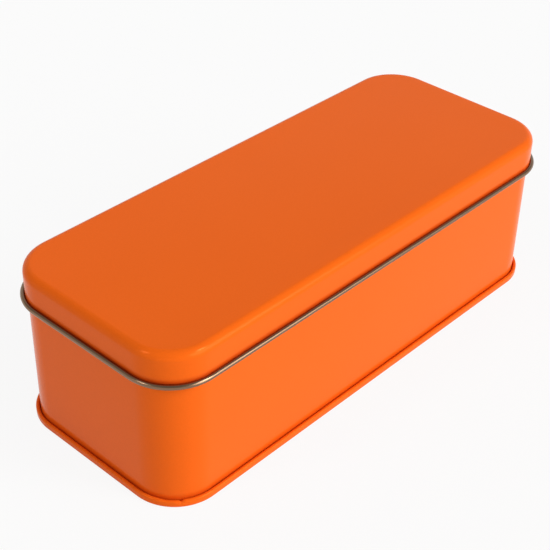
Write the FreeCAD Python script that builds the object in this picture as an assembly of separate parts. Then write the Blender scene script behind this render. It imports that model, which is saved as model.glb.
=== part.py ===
import FreeCAD, Part
import os
from math import cos, radians, sin

from FreeCAD import Placement, Rotation, Vector

# Slip-lid tin of pressed tinplate, shut.  Millimetres, +Z up.
# Origin: middle of the footprint, on the surface the tin stands on.
# X runs along the long side, Y across it.
#
#   lid    drawn panel and skirt, its lower edge rolled outward into a curl
#   body   wall with a locked side seam, a rounded rim and a foot hooked into the base
#   base   countersunk bottom plate, double-seamed round the foot of the wall

# ---- driving dimensions ------------------------------------------------------
LENGTH = 200.0              # across the lid skirt, along X
WIDTH = 80.0                # across the lid skirt, along Y
HEIGHT = 63.0               # from the standing surface to the top of the lid
CORNER_RADIUS = 17.0        # of the lid skirt, seen from above
SHEET = 0.3                 # thickness of the tinplate

LID_EDGE_RADIUS = 3.0       # outside radius between the panel and the skirt
LID_GAP = 0.55              # between the inside of the skirt and the wall
SKIRT_DEPTH = 11.9          # from the top of the panel down to the middle of the curl
CURL_RADIUS = 0.95          # outside radius of the rolled edge
CURL_END = 110.0            # degrees round the roll at which its raw edge stops

SEAM_GAP = 0.25             # between the layers of the double seam
SEAM_HEIGHT = 2.9           # from the standing surface to the top of the seam
SEAM_FOOT_RADIUS = 0.8      # outside edge under the seam
HOOK_LAP = 0.5              # height over which the two hooks of the seam overlap
COUNTERSINK = 3.4           # height of the underside of the bottom panel
PANEL_RADIUS = 0.7          # underside radius between the countersink and the panel
CHUCK_RADIUS = 0.5          # inside edge under the seam

SIDE_SEAM_WIDTH = 6.0       # band of the locked side seam, on the back wall
SIDE_SEAM_DEPTH = 0.2       # how far the band lies back from the wall
SIDE_SEAM_PLACE = 0.0       # its middle, along X

# ---- sizes that follow -------------------------------------------------------
WALL_INSET = SHEET + LID_GAP                    # wall face inside the skirt face
WALL_LENGTH = LENGTH - 2 * WALL_INSET
WALL_WIDTH = WIDTH - 2 * WALL_INSET
WALL_RADIUS = CORNER_RADIUS - WALL_INSET
RIM_RADIUS = LID_EDGE_RADIUS - WALL_INSET       # nests inside the lid's edge radius
RIM_TOP = HEIGHT - SHEET                        # the panel rests on the rim
FLOOR_TOP = COUNTERSINK + SHEET                 # top of the bottom panel

# layers of the double seam, outward from the wall's face
COVER_HOOK = SEAM_GAP                           # inner face of the base's turned-in hook
BODY_HOOK = COVER_HOOK + SHEET + SEAM_GAP       # inner face of the wall's turned-out hook
SEAM_FACE = BODY_HOOK + 2 * SHEET + SEAM_GAP    # outside of the seam
COVER_TURN = (SEAM_FACE - COVER_HOOK) / 2       # outside radius over the top of the seam
BODY_TURN = (BODY_HOOK + 2 * SHEET) / 2         # outside radius under the foot of the wall


# ---- sections ----------------------------------------------------------------
# A section is a list of pieces through points (outward, up), carried round the tin.

def polar(centre, radius, degrees):
    """Point on a circle of a section."""
    turn = radians(degrees)
    return (centre[0] + radius * cos(turn), centre[1] + radius * sin(turn))


def arc(centre, radius, first, last):
    """Three points of a section's arc, from one angle to another in degrees."""
    return [polar(centre, radius, turn) for turn in (first, (first + last) / 2, last)]


def section_face(pieces, shift):
    """Flat face in the XZ plane; the pieces' ends are joined by straight lines."""
    edges = []
    last = Vector(pieces[-1][-1][0] + shift, 0, pieces[-1][-1][1])
    for piece in pieces:
        points = [Vector(outward + shift, 0, up) for outward, up in piece]
        if not points[0].isEqual(last, 1e-7):
            edges.append(Part.LineSegment(last, points[0]).toShape())
        if len(points) == 3:
            edges.append(Part.Arc(*points).toShape())
        last = points[-1]
    return Part.Face(Part.Wire(edges))


def run_round(pieces, length, width, radius):
    """Carry a section round a rounded rectangle: four corners and four straights."""
    half_x = length / 2 - radius
    half_y = width / 2 - radius
    corners = [(half_x, -half_y), (half_x, half_y), (-half_x, half_y), (-half_x, -half_y)]
    straights = [2 * half_y, 2 * half_x, 2 * half_y, 2 * half_x]
    up = Vector(0, 0, 1)
    section = section_face(pieces, radius)
    solids = []
    for number, (x, y) in enumerate(corners):
        centre = Vector(x, y, 0)
        first = section.copy()
        first.Placement = Placement(centre, Rotation(up, 90.0 * number - 90.0))
        solids.append(first.revolve(centre, up, 90))
        last = section.copy()
        last.Placement = Placement(centre, Rotation(up, 90.0 * number))
        along = Rotation(up, 90.0 * number + 90.0).multVec(Vector(straights[number], 0, 0))
        solids.append(last.extrude(along))
    return solids[0].fuse(solids[1:])


def rounded_block(length, width, radius, bottom, top):
    """Upright block with rounded corners."""
    half_x = length / 2
    half_y = width / 2
    long_box = Part.makeBox(length, width - 2 * radius, top - bottom,
                            Vector(-half_x, radius - half_y, bottom))
    wide_box = Part.makeBox(length - 2 * radius, width, top - bottom,
                            Vector(radius - half_x, -half_y, bottom))
    pieces = [wide_box]
    for x in (radius - half_x, half_x - radius):
        for y in (radius - half_y, half_y - radius):
            pieces.append(Part.makeCylinder(radius, top - bottom, Vector(x, y, bottom)))
    return long_box.fuse(pieces)


def one_solid(shape):
    """The single solid of a fused shape, with its split faces joined."""
    joined = shape.removeSplitter()
    assert len(joined.Solids) == 1, "a piece came apart"
    return joined.Solids[0]


# ---- lid ---------------------------------------------------------------------
def lid_section():
    """Edge radius, skirt and outward curl, measured outward from the skirt's face."""
    edge = (-LID_EDGE_RADIUS, HEIGHT - LID_EDGE_RADIUS)
    curl = (CURL_RADIUS - SHEET, HEIGHT - SKIRT_DEPTH)
    raw_edge = 360 + CURL_END
    return [
        arc(edge, LID_EDGE_RADIUS, 90, 0),
        arc(curl, CURL_RADIUS - SHEET, 180, raw_edge),
        arc(curl, CURL_RADIUS, raw_edge, 180),
        arc(edge, LID_EDGE_RADIUS - SHEET, 0, 90),
    ]


def make_lid():
    edge_and_skirt = run_round(lid_section(), LENGTH, WIDTH, CORNER_RADIUS)
    panel_length = LENGTH - 2 * LID_EDGE_RADIUS
    panel_width = WIDTH - 2 * LID_EDGE_RADIUS
    panel_radius = CORNER_RADIUS - LID_EDGE_RADIUS
    panel = rounded_block(panel_length, panel_width, panel_radius, HEIGHT - SHEET, HEIGHT)
    return one_solid(edge_and_skirt.fuse(panel))


# ---- body --------------------------------------------------------------------
def rim_section():
    """Band of the wall that ends in the rounded rim, outward from the wall's face."""
    rim = (-RIM_RADIUS, RIM_TOP - RIM_RADIUS)
    return [
        arc(rim, RIM_RADIUS, 90, 0),
        [(0, FLOOR_TOP)],
        [(-RIM_RADIUS, FLOOR_TOP)],
    ]


def foot_section():
    """Foot of the wall, turned outward and up into its hook, from the wall's face."""
    turn = (BODY_TURN - SHEET, SHEET + BODY_TURN)
    hook_top = SEAM_HEIGHT - COVER_TURN
    return [
        arc(turn, BODY_TURN, 180, 360),
        [(BODY_HOOK + SHEET, hook_top)],
        [(BODY_HOOK, hook_top)],
        arc(turn, BODY_TURN - SHEET, 360, 180),
        [(0, FLOOR_TOP)],
        [(-SHEET, FLOOR_TOP)],
    ]


def side_seam():
    """Shallow upright band of the back wall; the seam is only lapped, so flush, at its ends."""
    left = SIDE_SEAM_PLACE - SIDE_SEAM_WIDTH / 2
    inside = WALL_WIDTH / 2 - SIDE_SEAM_DEPTH
    height = RIM_TOP - RIM_RADIUS - FLOOR_TOP
    corner = Vector(left, inside, FLOOR_TOP)
    return Part.makeBox(SIDE_SEAM_WIDTH, 2 * SIDE_SEAM_DEPTH, height, corner)


def make_body():
    wall = run_round(rim_section(), WALL_LENGTH, WALL_WIDTH, WALL_RADIUS)
    foot = run_round(foot_section(), WALL_LENGTH, WALL_WIDTH, WALL_RADIUS)
    core_length = WALL_LENGTH - 2 * RIM_RADIUS
    core_width = WALL_WIDTH - 2 * RIM_RADIUS
    core_radius = WALL_RADIUS - RIM_RADIUS
    core = rounded_block(core_length, core_width, core_radius, FLOOR_TOP, RIM_TOP)
    return one_solid(core.fuse([wall, foot]).cut(side_seam()))


# ---- base --------------------------------------------------------------------
def base_section():
    """Bottom plate's edge: countersink wall, seam foot, outside layer and hook."""
    panel_turn = (-2 * SHEET - PANEL_RADIUS, COUNTERSINK - PANEL_RADIUS)
    chuck = (CHUCK_RADIUS - 2 * SHEET, CHUCK_RADIUS)
    foot = (SEAM_FACE - SEAM_FOOT_RADIUS, SEAM_FOOT_RADIUS)
    over = (COVER_HOOK + COVER_TURN, SEAM_HEIGHT - COVER_TURN)
    hook_end = SEAM_HEIGHT - COVER_TURN - HOOK_LAP
    return [
        arc(panel_turn, PANEL_RADIUS, 90, 0),
        arc(chuck, CHUCK_RADIUS, 180, 270),
        arc(foot, SEAM_FOOT_RADIUS, 270, 360),
        arc(over, COVER_TURN, 0, 180),
        [(COVER_HOOK, hook_end)],
        [(COVER_HOOK + SHEET, hook_end)],
        arc(over, COVER_TURN - SHEET, 180, 0),
        arc(foot, SEAM_FOOT_RADIUS - SHEET, 360, 270),
        arc(chuck, CHUCK_RADIUS - SHEET, 270, 180),
        arc(panel_turn, PANEL_RADIUS + SHEET, 0, 90),
    ]


def make_base():
    seam = run_round(base_section(), WALL_LENGTH, WALL_WIDTH, WALL_RADIUS)
    turn_inset = 2 * SHEET + PANEL_RADIUS
    panel_length = WALL_LENGTH - 2 * turn_inset
    panel_width = WALL_WIDTH - 2 * turn_inset
    panel_radius = WALL_RADIUS - turn_inset
    panel = rounded_block(panel_length, panel_width, panel_radius, COUNTERSINK, FLOOR_TOP)
    return one_solid(seam.fuse(panel))


# ---- export ------------------------------------------------------------------
os.makedirs("parts", exist_ok=True)
PIECES = {"lid": make_lid, "body": make_body, "base": make_base}
for node, make in PIECES.items():
    piece = make()
    piece.exportStep("parts/" + node + ".step")
    print(node, "volume", round(piece.Volume, 1), "faces", len(piece.Faces), piece.BoundBox)
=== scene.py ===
from math import atan2, cos, degrees, exp, hypot, pi, radians, sin

import bmesh
import bpy
from mathutils import Matrix, Vector, noise


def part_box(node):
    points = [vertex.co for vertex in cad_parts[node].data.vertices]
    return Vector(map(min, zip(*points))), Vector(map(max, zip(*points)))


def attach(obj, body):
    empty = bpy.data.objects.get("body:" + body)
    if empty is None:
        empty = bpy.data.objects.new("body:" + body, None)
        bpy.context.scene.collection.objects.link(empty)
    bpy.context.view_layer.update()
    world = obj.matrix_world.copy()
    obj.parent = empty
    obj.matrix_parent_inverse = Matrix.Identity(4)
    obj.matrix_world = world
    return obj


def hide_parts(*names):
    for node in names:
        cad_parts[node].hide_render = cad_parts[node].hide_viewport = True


# Slip-lid tin of pressed tinplate, shut: lacquered orange outside, bare on the inner side of
# the sheet, which shows where the lower edge of the lid is rolled outward.

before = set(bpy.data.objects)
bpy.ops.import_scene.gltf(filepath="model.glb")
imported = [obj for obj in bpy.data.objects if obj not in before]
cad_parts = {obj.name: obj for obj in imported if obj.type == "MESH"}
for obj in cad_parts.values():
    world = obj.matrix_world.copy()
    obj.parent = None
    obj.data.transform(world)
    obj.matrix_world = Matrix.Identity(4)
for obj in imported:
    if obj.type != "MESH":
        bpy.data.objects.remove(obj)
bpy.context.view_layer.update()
MM = 0.001

# ---- sizes of the pressed sheet ----------------------------------------------
SHEET = 0.3 * MM                # tinplate
LACQUER = 0.04 * MM             # lacquer film on the outside of the lid, drawn thick
SKIRT_CORNER = 17.0 * MM        # corner of the lid skirt, seen from above
EDGE_RADIUS = 3.0 * MM          # between the lid's panel and its skirt
CURL_RADIUS = 0.95 * MM         # outside of the lid's rolled edge
CURL_END = 360 + 110            # degrees round the roll at which its raw edge stops
LID_GAP = 0.55 * MM             # between skirt and wall

SEAM_GAP = 0.25 * MM            # between the layers of the base's double seam
SEAM_HEIGHT = 2.9 * MM          # the double seam shows as a hem round the foot
SEAM_FOOT = 0.8 * MM            # outside edge radius under the seam
HOOK_LAP = 0.5 * MM             # straight end of the base's hook, inside the seam
PANEL_TURN = 0.7 * MM           # between the countersink and the bottom panel
CHUCK_TURN = 0.5 * MM           # inside edge radius under the seam

SIDE_SEAM_WIDTH = 6.0 * MM      # locked side seam, in the middle of the back wall
SIDE_SEAM_DEPTH = 0.2 * MM
SIDE_SEAM_FOLD = 0.3 * MM       # the step at its folded edge
SIDE_SEAM_SLOPE = 1.0 * MM      # the soft shoulder on its other side

# ---- places taken from the frame ---------------------------------------------
LID_LOW, LID_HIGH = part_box("lid")
BASE_LOW, BASE_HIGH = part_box("base")
CURL_REACH = 2 * CURL_RADIUS - SHEET
SKIRT_X = LID_HIGH.x - CURL_REACH
SKIRT_Y = LID_HIGH.y - CURL_REACH
CURL_Z = LID_LOW.z + CURL_RADIUS
TOP = LID_HIGH.z

WALL_INSET = SHEET + LID_GAP
WALL_X = SKIRT_X - WALL_INSET
WALL_Y = SKIRT_Y - WALL_INSET
WALL_CORNER = SKIRT_CORNER - WALL_INSET
RIM_RADIUS = EDGE_RADIUS - WALL_INSET
FLOOR_TOP = BASE_HIGH.z
COUNTERSINK = FLOOR_TOP - SHEET

# layers of the double seam, outward from the wall's face
COVER_HOOK = SEAM_GAP                           # inner face of the base's turned-in hook
BODY_HOOK = COVER_HOOK + SHEET + SEAM_GAP       # inner face of the wall's turned-out hook
SEAM_FACE = BODY_HOOK + 2 * SHEET + SEAM_GAP    # outside of the seam
COVER_TURN = (SEAM_FACE - COVER_HOOK) / 2       # outside radius over the top of the seam

# ---- mesh fineness -----------------------------------------------------------
CORNER_STEPS = 28               # round each upright corner
ROLL_STEPS = 36                 # round the lid's rolled edge
EDGE_STEPS = 14                 # over the lid's top edge
STRAIGHT_STEP = 2.5 * MM        # along straight sides and flats
LONG_FLAT = 1.5 * MM            # a section's flats longer than this get points along them
PANEL_RINGS = 8                 # from a panel's edge in to its middle
WELD = 0.002 * MM               # points closer than this are one point
SLIVER = 0.001 * MM             # edges shorter than this are taken away
SHARP_FOLD = 40                 # degrees; a harder fold shows as a line


# ---- forming the sheet -------------------------------------------------------
def bend(centre, radius, first, last, steps):
    """Arc of a section from one angle to another in degrees, as (outward, up) points."""
    points = []
    for step in range(steps + 1):
        turn = radians(first + (last - first) * step / steps)
        points.append((centre[0] + radius * cos(turn), centre[1] + radius * sin(turn)))
    return points


def straight(start, end, steps):
    """Points between two section points, without the two ends."""
    points = []
    for step in range(1, steps):
        share = step / steps
        points.append((start[0] + (end[0] - start[0]) * share,
                       start[1] + (end[1] - start[1]) * share))
    return points


def run(*stretches):
    """Section through several stretches, with evenly spaced points along its long flats."""
    section = list(stretches[0])
    for stretch in stretches[1:]:
        length = hypot(stretch[0][0] - section[-1][0], stretch[0][1] - section[-1][1])
        if length > LONG_FLAT:
            section += straight(section[-1], stretch[0], max(3, round(length / STRAIGHT_STEP)))
        section += list(stretch)
    return section


def side_steps(half_x, half_y, corner):
    """Number of steps along a long side and along a short side."""
    return (round(2 * (half_x - corner) / STRAIGHT_STEP),
            round(2 * (half_y - corner) / STRAIGHT_STEP))


def stations(half_x, half_y, corner):
    """Places round a rounded rectangle, as (x, y, outward x, outward y)."""
    inner_x = half_x - corner
    inner_y = half_y - corner
    along_x, along_y = side_steps(half_x, half_y, corner)
    centres = [(inner_x, -inner_y), (inner_x, inner_y), (-inner_x, inner_y), (-inner_x, -inner_y)]
    steps = [along_y, along_x, along_y, along_x]
    places = []
    for number, (x, y) in enumerate(centres):
        next_x, next_y = centres[(number + 1) % 4]
        for step in range(CORNER_STEPS + 1):
            turn = radians(90 * number - 90 + 90 * step / CORNER_STEPS)
            places.append((x + corner * cos(turn), y + corner * sin(turn), cos(turn), sin(turn)))
        out_x, out_y = places[-1][2:]
        for step in range(1, steps[number]):
            share = step / steps[number]
            places.append((x + (next_x - x) * share + corner * out_x,
                           y + (next_y - y) * share + corner * out_y, out_x, out_y))
    return places


def panel_faces(form, half_x, half_y, corner, outward, up):
    """Flat panel inside a ring of the section: shrinking rings down to a middle grid."""
    places = stations(half_x, half_y, corner)
    rings = []
    for number in range(PANEL_RINGS + 1):
        inset = (corner + outward) * number / PANEL_RINGS
        rings.append([form.verts.new((x + out_x * (outward - inset), y + out_y * (outward - inset), up))
                      for x, y, out_x, out_y in places])
    for outer, inner in zip(rings, rings[1:]):
        for number in range(len(places)):
            after = (number + 1) % len(places)
            form.faces.new((outer[number], outer[after], inner[after], inner[number]))
    along_x, along_y = side_steps(half_x, half_y, corner)
    grid = []
    for row in range(along_y + 1):
        y = (half_y - corner) * (2 * row / along_y - 1)
        grid.append([form.verts.new(((half_x - corner) * (2 * column / along_x - 1), y, up))
                     for column in range(along_x + 1)])
    for row in range(along_y):
        for column in range(along_x):
            form.faces.new((grid[row][column], grid[row][column + 1],
                            grid[row + 1][column + 1], grid[row + 1][column]))


def press(name, section, half_x, half_y, corner, shape_point, material, folds=()):
    """Closed piece: a section carried round the tin, with a panel at both of its ends.

    The folds are places along X at which it gets extra edges.
    """
    form = bmesh.new()
    places = stations(half_x, half_y, corner)
    rings = [[form.verts.new((x + out_x * outward, y + out_y * outward, up))
              for x, y, out_x, out_y in places] for outward, up in section]
    for upper, lower in zip(rings, rings[1:]):
        for number in range(len(places)):
            after = (number + 1) % len(places)
            form.faces.new((upper[number], upper[after], lower[after], lower[number]))
    for outward, up in (section[0], section[-1]):
        panel_faces(form, half_x, half_y, corner, outward, up)
    bmesh.ops.remove_doubles(form, verts=form.verts, dist=WELD)
    bmesh.ops.dissolve_degenerate(form, edges=form.edges, dist=SLIVER)
    for fold in folds:
        bmesh.ops.bisect_plane(form, geom=[*form.verts, *form.edges, *form.faces],
                               dist=WELD, plane_co=(fold, 0, 0), plane_no=(1, 0, 0))
    for vert in form.verts:
        vert.co = shape_point(vert.co)
    bmesh.ops.recalc_face_normals(form, faces=form.faces)
    for face in form.faces:
        face.smooth = True
    for edge in form.edges:
        edge.smooth = edge.is_manifold and edge.calc_face_angle() < radians(SHARP_FOLD)
    mesh = bpy.data.meshes.new(name)
    form.to_mesh(mesh)
    form.free()
    mesh.materials.append(material)
    piece = bpy.data.objects.new(name, mesh)
    bpy.context.scene.collection.objects.link(piece)
    weighted = piece.modifiers.new("even_flats", "WEIGHTED_NORMAL")
    weighted.keep_sharp = True
    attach(piece, "root")
    return piece


def ease(low, high, value):
    """0 below low, 1 above high, smooth between."""
    share = min(max((value - low) / (high - low), 0.0), 1.0)
    return share * share * (3 - 2 * share)


def waver(place, length, seed):
    """Smooth unevenness from -1 to 1, over about the given length."""
    return noise.noise(Vector((place.x / length + seed, place.y / length, place.z / length)))


# ---- small unevenness of the real piece --------------------------------------
PANEL_SLACK = 0.10 * MM         # how far the middle of the lid's panel lies low
PANEL_WAVE = 45 * MM            # length over which that varies
STIFF_EDGE = 14 * MM            # width of the panel's edge, over which the slack sets in
CURL_WANDER = 0.03 * MM         # unevenness of the rolling
CURL_WAVE = 9 * MM
CURL_GONE = 4 * MM              # height over the roll's middle at which it is gone

WALL_SLACK = 0.12 * MM          # how far the long walls are drawn in half way up
END_SLACK = WALL_SLACK / 2      # the same of the short walls
WALL_WAVE = 55 * MM
FOOT_EASE = 22 * MM             # the walls are drawn in fully from this height
RIM_EASE = (26 * MM, 8 * MM)    # depths under the top between which that ends
LONG_EASE = 45 * MM             # how far from the corners a long wall is drawn in fully
SHORT_EASE = 20 * MM
FACE_SKIN = (1 * MM, 0.1 * MM)  # depths under a wall's face from which it moves, and moves fully

NICK_TURN = 232                 # degrees round the corner at -X -Y, where the seam is nicked
NICK_WIDTH = 2.2                # degrees
NICK_DEPTH = 0.6 * MM
LOW_FROM = 204                  # from here to the nick the seam's top sits low
LOW_FULLY = 214
LOW_ENDS = NICK_TURN + 1
LOW_DROP = 0.22 * MM
STEADY_FOOT = 1.4 * MM          # the seam keeps its shape up to this height


def lid_point(place):
    """The panel lies a little slack inside its stiff edge; the rolled edge wanders."""
    inside = min(SKIRT_X - abs(place.x), SKIRT_Y - abs(place.y))
    slack = ease(EDGE_RADIUS, STIFF_EDGE, inside) * ease(TOP - EDGE_RADIUS, TOP - SHEET, place.z)
    # a quarter of the slack to one and a quarter, from place to place
    low = PANEL_SLACK * slack * (0.75 + 0.5 * waver(place, PANEL_WAVE, seed=3))
    near_curl = 1 - ease(CURL_Z + CURL_RADIUS, CURL_Z + CURL_GONE, place.z)
    wander = CURL_WANDER * near_curl * waver(Vector((place.x, place.y, 0)), CURL_WAVE, seed=8)
    return Vector((place.x, place.y, place.z - low + max(wander, 0)))


def wall_point(place):
    """The flat walls are drawn in a little, half way up; the back one carries the side seam."""
    fading, gone = RIM_EASE
    skin, face = FACE_SKIN
    upright = ease(FLOOR_TOP, FOOT_EASE, place.z) * (1 - ease(TOP - fading, TOP - gone, place.z))
    along_x = ease(0, LONG_EASE, WALL_X - WALL_CORNER - abs(place.x))
    along_y = ease(0, SHORT_EASE, WALL_Y - WALL_CORNER - abs(place.y))
    on_long = ease(WALL_Y - skin, WALL_Y - face, abs(place.y))
    on_short = ease(WALL_X - skin, WALL_X - face, abs(place.x))
    # a fifth of the slack to one and two fifths, from place to place
    uneven = 0.8 + 0.6 * waver(place, WALL_WAVE, seed=5)
    inward_y = WALL_SLACK * upright * along_x * on_long * uneven
    inward_x = END_SLACK * upright * along_y * on_short * uneven
    if place.y > WALL_Y - face:
        half = SIDE_SEAM_WIDTH / 2
        folded = ease(-half, SIDE_SEAM_FOLD - half, place.x)
        inward_y += SIDE_SEAM_DEPTH * folded * (1 - ease(half - SIDE_SEAM_SLOPE, half, place.x))
    return Vector((place.x - inward_x * (1 if place.x > 0 else -1),
                   place.y - inward_y * (1 if place.y > 0 else -1), place.z))


def base_point(place):
    """The seam's top edge is nicked near one corner, and sits low beside the nick."""
    from_x = place.x + WALL_X - WALL_CORNER
    from_y = place.y + WALL_Y - WALL_CORNER
    turn = degrees(atan2(from_y, from_x)) % 360
    on_seam = from_x < 0 and from_y < 0 and hypot(from_x, from_y) > WALL_CORNER
    if not on_seam or place.z < STEADY_FOOT:
        return place.copy()
    share = ease(STEADY_FOOT, SEAM_HEIGHT, place.z)
    low = ease(LOW_FROM, LOW_FULLY, turn) * (1 - ease(NICK_TURN, LOW_ENDS, turn))
    nick = exp(-((turn - NICK_TURN) / NICK_WIDTH) ** 2)
    return place - Vector((0, 0, share * (LOW_DROP * low + NICK_DEPTH * nick)))


# ---- nodes -------------------------------------------------------------------
MIX_A = 6                       # colour sockets of the Mix node
MIX_B = 7
MIX_COLOUR = 2
NOISE_LOW = 0.3                 # between these lies nearly all of a noise
NOISE_HIGH = 0.7


def linear(sheet_colour):
    """sRGB hex to linear RGBA."""
    channels = []
    for start in (0, 2, 4):
        value = int(sheet_colour[start:start + 2], 16) / 255
        channels.append(value / 12.92 if value <= 0.04045 else ((value + 0.055) / 1.055) ** 2.4)
    return (*channels, 1.0)


def add(tree, kind, feeds=None, **settings):
    """Add a node: settings are its properties, feeds are its sockets' values or sources."""
    made = tree.nodes.new(kind)
    for name, value in settings.items():
        setattr(made, name, value)
    for socket, value in (feeds or {}).items():
        if isinstance(value, bpy.types.NodeSocket):
            tree.links.new(value, made.inputs[socket])
        else:
            made.inputs[socket].default_value = value
    return made


def start_material(name):
    """New material with only its output; gives the material and its node tree."""
    material = bpy.data.materials.new(name)
    material.use_nodes = True
    material.node_tree.nodes.clear()
    return material, material.node_tree


def repeats(size):
    """Noise scale for a pattern whose features are this long, in metres."""
    return 1 / size


def looked_at(tree):
    """1 for what is seen, straight, mirrored or through glass; 0 for what only gets light."""
    ray = add(tree, "ShaderNodeLightPath")
    seen = add(tree, "ShaderNodeMath",
               {0: ray.outputs["Is Camera Ray"], 1: ray.outputs["Is Glossy Ray"]},
               operation="MAXIMUM")
    seen = add(tree, "ShaderNodeMath",
               {0: seen.outputs["Value"], 1: ray.outputs["Is Transmission Ray"]},
               operation="MAXIMUM")
    return seen.outputs["Value"]


# ---- finishes ----------------------------------------------------------------
def stoved_lacquer_on_tinplate(name, crease=None):
    """Orange pigmented lacquer, roller-coated on flat tinplate and baked before pressing.

    An even, dense colour with a soft satin sheen and a trace of the tin glinting through;
    a very fine orange peel breaks up the sheen, and handling leaves it slightly smoother in
    patches. Where a crease is given, as the heights in metres from which its shade starts and
    at which it is darkest and how dark it is there, the lacquer is darkened towards a deep red
    there: painted shade, standing in for the shade that falls in the crease.
    """
    material, tree = start_material(name)
    place = add(tree, "ShaderNodeTexCoord").outputs["Object"]
    # film weight drifts over about 70 mm, as the coating roller leaves it
    drift = add(tree, "ShaderNodeTexNoise",
                {"Vector": place, "Scale": repeats(70 * MM), "Detail": 2.0})
    colour = add(tree, "ShaderNodeMix",
                 {"Factor": drift.outputs["Fac"], MIX_A: linear("EB6213"), MIX_B: linear("F06616")},
                 data_type="RGBA").outputs[MIX_COLOUR]
    # painted shade: towards the crease the lacquer is darkened to a deep red, standing in for the shade
    # that falls there
    if crease:
        shade_from, darkest, depth = crease
        height = add(tree, "ShaderNodeSeparateXYZ", {"Vector": place}).outputs["Z"]
        # the edge of the painted shade wanders within half a millimetre, over about 5 mm
        wander = 0.5 * MM
        uneven = add(tree, "ShaderNodeTexNoise",
                     {"Vector": place, "Scale": repeats(5 * MM), "Detail": 2.0})
        edge = add(tree, "ShaderNodeMath",
                   {0: uneven.outputs["Fac"], 1: wander, 2: height}, operation="MULTIPLY_ADD")
        painted_shade = add(tree, "ShaderNodeMapRange",
                   {"Value": edge.outputs["Value"], "From Min": shade_from + wander / 2,
                    "From Max": darkest + wander / 2}, interpolation_type="SMOOTHSTEP")
        share = add(tree, "ShaderNodeMath",
                    {0: painted_shade.outputs["Result"], 1: depth}, operation="MULTIPLY")
        # deep red of the painted shade in the crease
        colour = add(tree, "ShaderNodeMix",
                     {"Factor": share.outputs["Value"], MIX_A: colour, MIX_B: linear("B8230A")},
                     data_type="RGBA").outputs[MIX_COLOUR]
    # pigment grain of 0.05 mm is too fine to show, so it is drawn 0.6 mm coarse
    grain = add(tree, "ShaderNodeTexNoise",
                {"Vector": place, "Scale": repeats(0.6 * MM), "Detail": 1.0})
    speckle = add(tree, "ShaderNodeMapRange",
                  {"Value": grain.outputs["Fac"], "From Min": NOISE_LOW, "From Max": NOISE_HIGH,
                   "To Min": 0.985, "To Max": 1.015})
    tone = add(tree, "ShaderNodeVectorMath",
               {0: colour, "Scale": speckle.outputs["Result"]}, operation="SCALE")
    # patches smoothed by handling, 25 mm across
    handled = add(tree, "ShaderNodeTexNoise",
                  {"Vector": place, "Scale": repeats(25 * MM), "Detail": 3.0})
    sheen = add(tree, "ShaderNodeMapRange",
                {"Value": handled.outputs["Fac"], "From Min": NOISE_LOW, "From Max": NOISE_HIGH,
                 "To Min": 0.18, "To Max": 0.22})
    # orange peel, 1.2 mm from crest to crest and some thousandths of a millimetre deep
    peel = add(tree, "ShaderNodeTexNoise",
               {"Vector": place, "Scale": repeats(1.2 * MM), "Detail": 1.5})
    relief = add(tree, "ShaderNodeBump",
                 {"Height": peel.outputs["Fac"], "Strength": 1.0, "Distance": 0.004 * MM})
    # the film mirrors little, so its colour stays deep where white paper is mirrored in it
    shader = add(tree, "ShaderNodeBsdfPrincipled",
                 {"Base Color": tone.outputs["Vector"], "Roughness": sheen.outputs["Result"],
                  "Normal": relief.outputs["Normal"], "IOR": 1.5, "Specular IOR Level": 0.08,
                  "Specular Tint": linear("FFE8B0"), "Metallic": 0.05})
    add(tree, "ShaderNodeOutputMaterial", {"Surface": shader.outputs["BSDF"]})
    return material


def bare_rolled_tinplate():
    """Tinplate left bare on the inner side, cold-rolled, tinned and flow-brightened.

    A warm grey metal, half bright, with fine rolling lines along the length of the sheet.
    """
    material, tree = start_material("bare_tinplate_cold_rolled")
    place = add(tree, "ShaderNodeTexCoord").outputs["Object"]
    # rolling lines are too fine to show, so they are drawn 0.3 mm apart and 12 mm long
    apart, length = 0.3, 12
    stretched = add(tree, "ShaderNodeMapping",
                    {"Vector": place, "Scale": (apart / length, 1.0, 1.0)})
    lines = add(tree, "ShaderNodeTexNoise",
                {"Vector": stretched.outputs["Vector"], "Scale": repeats(apart * MM), "Detail": 2.0})
    colour = add(tree, "ShaderNodeMix",
                 {"Factor": lines.outputs["Fac"], MIX_A: linear("806650"), MIX_B: linear("8C7059")},
                 data_type="RGBA")
    # the tin coat dulls unevenly over about 8 mm
    dulling = add(tree, "ShaderNodeTexNoise",
                  {"Vector": place, "Scale": repeats(8 * MM), "Detail": 2.0})
    sheen = add(tree, "ShaderNodeMapRange",
                {"Value": dulling.outputs["Fac"], "From Min": NOISE_LOW, "From Max": NOISE_HIGH,
                 "To Min": 0.21, "To Max": 0.26})
    relief = add(tree, "ShaderNodeBump",
                 {"Height": lines.outputs["Fac"], "Strength": 1.0, "Distance": 0.003 * MM})
    shader = add(tree, "ShaderNodeBsdfPrincipled",
                 {"Base Color": colour.outputs[MIX_COLOUR], "Metallic": 1.0,
                  "Roughness": sheen.outputs["Result"], "Normal": relief.outputs["Normal"]})
    add(tree, "ShaderNodeOutputMaterial", {"Surface": shader.outputs["BSDF"]})
    return material


PAPER_GLOW = 0.9                # share of its own glow in how the paper is seen


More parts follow.
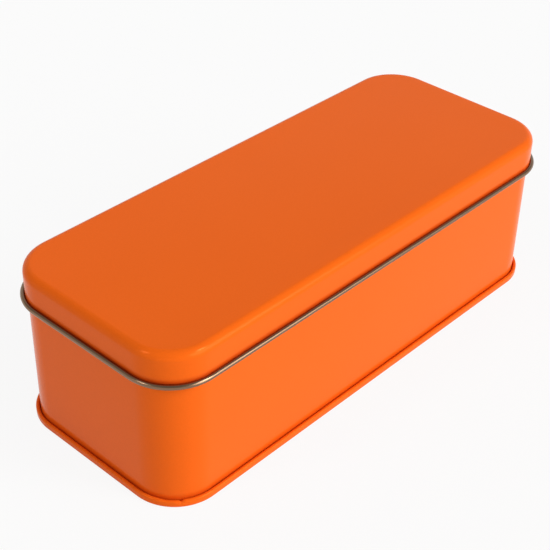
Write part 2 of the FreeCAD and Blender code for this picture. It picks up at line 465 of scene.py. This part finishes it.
def matt_white_paper():
    """Seamless studio paper, uncoated and matt: white, with a faint shadow left under the tin.

    Most of what is seen of it is its own even glow; the rest is the light that falls on it.
    """
    material, tree = start_material("matt_white_studio_paper")
    place = add(tree, "ShaderNodeTexCoord").outputs["Object"]
    fibres = add(tree, "ShaderNodeTexNoise",
                 {"Vector": place, "Scale": repeats(1.5 * MM), "Detail": 3.0})
    relief = add(tree, "ShaderNodeBump",
                 {"Height": fibres.outputs["Fac"], "Strength": 1.0, "Distance": 0.01 * MM})
    paper = add(tree, "ShaderNodeBsdfPrincipled",
                {"Base Color": linear("DAD9D7"), "Roughness": 0.9, "Specular IOR Level": 0.08,
                 "Normal": relief.outputs["Normal"]})
    glow = add(tree, "ShaderNodeEmission", {"Color": (1, 1, 1, 1), "Strength": 1.0})
    share = add(tree, "ShaderNodeMath", {0: looked_at(tree), 1: PAPER_GLOW}, operation="MULTIPLY")
    surface = add(tree, "ShaderNodeMixShader",
                  {"Fac": share.outputs["Value"], 1: paper.outputs["BSDF"],
                   2: glow.outputs["Emission"]})
    add(tree, "ShaderNodeOutputMaterial", {"Surface": surface.outputs["Shader"]})
    return material


# ---- pieces ------------------------------------------------------------------
CREASE_DEPTH = 0.2 * MM         # painted shade in a crease is darkest this far below its edge
LID_SHADE_REACH = 2.0 * MM       # how far above the edge it fades out
WALL_SHADE_REACH = 2.2 * MM
LID_SHADE_DARKNESS = 0.6                  # how dark it is at its darkest, of 1
WALL_SHADE_DARKNESS = 0.35


def edge_out(depth, first, last):
    """Bend over the lid's top edge, at a depth under its lacquered face."""
    return bend((-EDGE_RADIUS, TOP - EDGE_RADIUS), EDGE_RADIUS - depth, first, last, EDGE_STEPS)


def roll_out(depth, first, last):
    """Bend round the lid's rolled edge, at a depth under its lacquered face."""
    middle = (CURL_RADIUS - SHEET, CURL_Z)
    return bend(middle, CURL_RADIUS - SHEET + depth, first, last, ROLL_STEPS)


def press_lid_layer(name, outer, inner, material):
    """One layer of the lid, between two depths: panel, top edge, skirt and rolled edge."""
    section = run(edge_out(outer, 90, 0), roll_out(outer, 180, CURL_END),
                  roll_out(inner, CURL_END, 180), edge_out(inner, 0, 90))
    return press(name, section, SKIRT_X, SKIRT_Y, SKIRT_CORNER, lid_point, material)


def make_lid_lacquer(material):
    """Lacquer film over the panel, the edge and the skirt, on into the roll."""
    return press_lid_layer("lid_lacquer", 0, LACQUER, material)


def make_lid_sheet(material):
    """The lid's tinplate; its bare inner side shows on the outside of the roll."""
    return press_lid_layer("lid_tinplate", LACQUER, SHEET, material)


def make_wall(material):
    """Wall with its rounded rim and its foot, which goes down into the double seam."""
    rim = (-RIM_RADIUS, TOP - SHEET - RIM_RADIUS)
    foot = COVER_TURN           # height at which it stops, inside the seam
    section = run(bend(rim, RIM_RADIUS, 90, 0, steps=10), [(0, foot)], [(-SHEET, foot)],
                  [(-SHEET, FLOOR_TOP)], [(-2 * SHEET - PANEL_TURN, FLOOR_TOP)])
    half = SIDE_SEAM_WIDTH / 2
    folded_edge = [-half, SIDE_SEAM_FOLD / 2 - half, SIDE_SEAM_FOLD - half]
    shoulder = [half - share * SIDE_SEAM_SLOPE for share in (1, 0.75, 0.5, 0.25, 0)]
    return press("wall", section, WALL_X, WALL_Y, WALL_CORNER, wall_point, material,
                 folded_edge + shoulder)


def make_base(material):
    """Countersunk bottom plate with the layers of its double seam."""
    panel = (-2 * SHEET - PANEL_TURN, COUNTERSINK - PANEL_TURN)
    chuck = (CHUCK_TURN - 2 * SHEET, CHUCK_TURN)
    foot = (SEAM_FACE - SEAM_FOOT, SEAM_FOOT)
    over = (COVER_HOOK + COVER_TURN, SEAM_HEIGHT - COVER_TURN)
    hook_end = SEAM_HEIGHT - COVER_TURN - HOOK_LAP
    section = run(bend(panel, PANEL_TURN, 90, 0, steps=8),
                  bend(chuck, CHUCK_TURN, 180, 270, steps=8),
                  bend(foot, SEAM_FOOT, 270, 360, steps=10),
                  bend(over, COVER_TURN, 0, 180, steps=18),
                  [(COVER_HOOK, hook_end), (COVER_HOOK + SHEET, hook_end)],
                  bend(over, COVER_TURN - SHEET, 180, 0, steps=14),
                  bend(foot, SEAM_FOOT - SHEET, 360, 270, steps=8),
                  bend(chuck, CHUCK_TURN - SHEET, 270, 180, steps=6),
                  bend(panel, PANEL_TURN + SHEET, 0, 90, steps=8))
    return press("base_plate", section, WALL_X, WALL_Y, WALL_CORNER, base_point, material)


def make_tin():
    """The lid, the wall and the base, each in place of its plain solid."""
    curl_top = CURL_Z + CURL_RADIUS
    # painted shade in the creases over the rolled edge and over the seam
    over_curl = (curl_top + LID_SHADE_REACH, curl_top - CREASE_DEPTH, LID_SHADE_DARKNESS)
    over_seam = (SEAM_HEIGHT + WALL_SHADE_REACH, SEAM_HEIGHT - CREASE_DEPTH, WALL_SHADE_DARKNESS)
    lid_lacquer = stoved_lacquer_on_tinplate("stoved_orange_lacquer_on_lid", over_curl)
    wall_lacquer = stoved_lacquer_on_tinplate("stoved_orange_lacquer_on_wall", over_seam)
    base_lacquer = stoved_lacquer_on_tinplate("stoved_orange_lacquer_on_base")
    pieces = [(make_lid_lacquer(lid_lacquer), "lid", "orange_lacquer"),
              (make_lid_sheet(bare_rolled_tinplate()), "lid", "bare_tinplate"),
              (make_wall(wall_lacquer), "body", "orange_lacquer"),
              (make_base(base_lacquer), "base", "orange_lacquer")]
    for piece, node, slot in pieces:
        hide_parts(node)


# ---- studio ------------------------------------------------------------------
FLOOR_REACH = 6.0               # metres, past the view from low down
LAMP_AWAY = 3.0                 # metres from the tin
PAPER_SEEN = 0.96               # light of the paper behind the floor, as it is seen
PAPER_RISE = (13, 20)           # degrees up to which it shows fully, and at which it ends
TENT = 0.39                     # light of the white tent round it all
# brighter sides of the tent: azimuth, half width where full and where gone, light
SCREENS = ((140, 35, 60, 0.38), (18, 18, 42, 1.25), (-106, 22, 42, 0.50))
SCREEN_RISE = (38, 47)          # degrees up to which they are full, and at which they end
# round lamps: azimuth, elevation, width in degrees, light on a surface facing it
LAMPS = (("main_softbox", 26, 42, 15, 0.27), ("left_softbox", -106, 42, 12, 0.13),
         ("low_front_fill", 18, 18, 46, 0.55))


def lay_floor():
    """Sheet of paper under the tin, which stands on it."""
    mesh = bpy.data.meshes.new("studio_floor")
    form = bmesh.new()
    bmesh.ops.create_grid(form, x_segments=24, y_segments=24, size=FLOOR_REACH,
                          matrix=Matrix.Translation((0, 0, BASE_LOW.z)))
    form.to_mesh(mesh)
    form.free()
    mesh.materials.append(matt_white_paper())
    floor = bpy.data.objects.new("studio_floor", mesh)
    bpy.context.scene.collection.objects.link(floor)


def from_side(azimuth, elevation):
    """Unit vector towards a place seen at an azimuth, 0 in front, and an elevation."""
    turn = radians(azimuth)
    tilt = radians(elevation)
    return Vector((sin(turn) * cos(tilt), -cos(turn) * cos(tilt), sin(tilt)))


def aim(name, lamp, azimuth, elevation):
    """Hang a lamp so that it faces the tin."""
    holder = bpy.data.objects.new(name, lamp)
    holder.rotation_euler = from_side(azimuth, elevation).to_track_quat("Z", "Y").to_euler()
    holder.location = LAMP_AWAY * from_side(azimuth, elevation)
    holder.visible_camera = False
    bpy.context.scene.collection.objects.link(holder)


def light_studio():
    """A white tent, brighter on three sides, and round soft lamps at a distance.

    The main lamp hangs in front to the right and a smaller one on the left; a low wide one
    fills in the front.
    """
    world = bpy.data.worlds.new("light_tent")
    bpy.context.scene.world = world
    world.use_nodes = True
    tree = world.node_tree
    tree.nodes.clear()
    direction = add(tree, "ShaderNodeTexCoord").outputs["Generated"]
    height = add(tree, "ShaderNodeSeparateXYZ", {"Vector": direction}).outputs["Z"]
    full_to, gone_at = [sin(radians(angle)) for angle in SCREEN_RISE]
    upward = add(tree, "ShaderNodeMapRange",
                 {"Value": height, "From Min": gone_at, "From Max": full_to},
                 interpolation_type="SMOOTHSTEP")
    light = TENT
    for azimuth, full, none, level in SCREENS:
        across = add(tree, "ShaderNodeVectorMath",
                     {0: direction, 1: from_side(azimuth, 0)}, operation="DOT_PRODUCT")
        screen = add(tree, "ShaderNodeMapRange",
                     {"Value": across.outputs["Value"], "From Min": cos(radians(none)),
                      "From Max": cos(radians(full)), "To Max": level},
                     interpolation_type="SMOOTHSTEP")
        light = add(tree, "ShaderNodeMath",
                    {0: screen.outputs["Result"], 1: upward.outputs["Result"], 2: light},
                    operation="MULTIPLY_ADD").outputs["Value"]
    # the paper curves up behind the floor and is seen as pale as the floor is
    full_to, gone_at = [sin(radians(angle)) for angle in PAPER_RISE]
    paper = add(tree, "ShaderNodeMapRange",
                {"Value": height, "From Min": gone_at, "From Max": full_to},
                interpolation_type="SMOOTHSTEP")
    share = add(tree, "ShaderNodeMath",
                {0: looked_at(tree), 1: paper.outputs["Result"]}, operation="MULTIPLY")
    light = add(tree, "ShaderNodeMix",
                {"Factor": share.outputs["Value"], "A": light, "B": PAPER_SEEN})
    glow = add(tree, "ShaderNodeBackground", {"Color": light.outputs["Result"], "Strength": 1.0})
    add(tree, "ShaderNodeOutputWorld", {"Surface": glow.outputs["Background"]})

    for name, azimuth, elevation, spread, level in LAMPS:
        lamp = bpy.data.lights.new(name, "SUN")
        lamp.angle = radians(spread)
        # at pi it lights a white surface that faces it fully
        lamp.energy = pi * level
        aim(name, lamp, azimuth, elevation)


CAMERA_SIDE = -47.471           # degrees round from the front, towards the left end
CAMERA_HEIGHT = 35.702          # degrees above the floor
CAMERA_ROLL = 1.179             # degrees
CAMERA_AWAY = 492.58 * MM       # from the origin, along the view
CAMERA_RIGHT = -7.245 * MM      # sideways and upward from that place
CAMERA_UP = 20.985 * MM
SENSOR = 36.0
LENS = 84.262                   # for that sensor width, both in mm


def set_camera():
    """Camera at the left of the front, above the tin and looking down at it."""
    back = from_side(CAMERA_SIDE, CAMERA_HEIGHT)
    level_right = Vector((0, 0, 1)).cross(back).normalized()
    level_up = back.cross(level_right)
    roll = radians(CAMERA_ROLL)
    right = cos(roll) * level_right + sin(roll) * level_up
    up = cos(roll) * level_up - sin(roll) * level_right
    place = CAMERA_AWAY * back + CAMERA_RIGHT * right + CAMERA_UP * up
    camera = bpy.data.cameras.new("camera")
    camera.sensor_width = SENSOR
    camera.lens = LENS
    camera.clip_start = 0.01
    camera.clip_end = 50.0
    holder = bpy.data.objects.new("camera", camera)
    turned = Matrix((right, up, back)).transposed().to_4x4()
    holder.matrix_world = Matrix.Translation(place) @ turned
    bpy.context.scene.collection.objects.link(holder)
    bpy.context.scene.camera = holder


make_tin()
lay_floor()
light_studio()
set_camera()
bpy.context.scene.view_settings.view_transform = "Standard"
